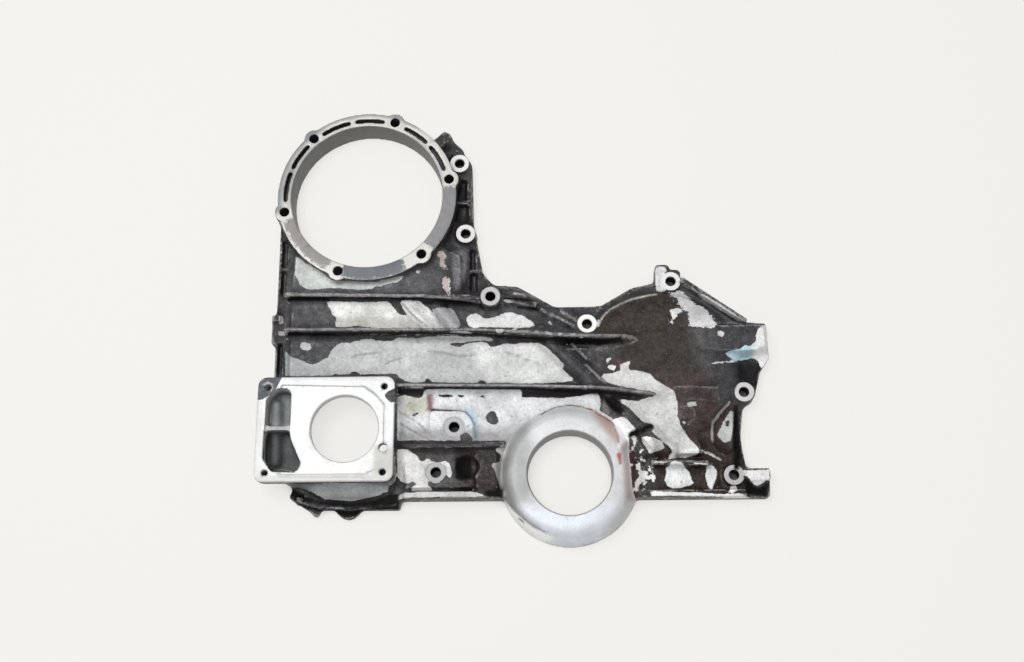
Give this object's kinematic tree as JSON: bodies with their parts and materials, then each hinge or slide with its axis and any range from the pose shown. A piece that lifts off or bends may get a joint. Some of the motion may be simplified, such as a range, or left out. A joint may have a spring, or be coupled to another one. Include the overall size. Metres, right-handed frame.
{
  "type": "spur gear cover",
  "caption": "Cast aluminium front cover for an engine's timing gears, with a pump ring, a crankshaft seal boss and a drive pad; dark paint flaking off.",
  "frame": {"origin": "centre of the bounding box, on the machined rear face", "axes": "+X to the right and +Y upwards as the cover is seen from the front when fitted, +Z forwards, away from the engine; it lies on its rear face"},
  "size_m": [0.4472, 0.3984, 0.036],
  "materials": {
    "casting": "cast aluminium with dark paint flaking off to bare grey metal, and bright machined faces"
  },
  "bodies": {
    "root": {"gear_cover": "casting"}
  },
  "joints": []
}
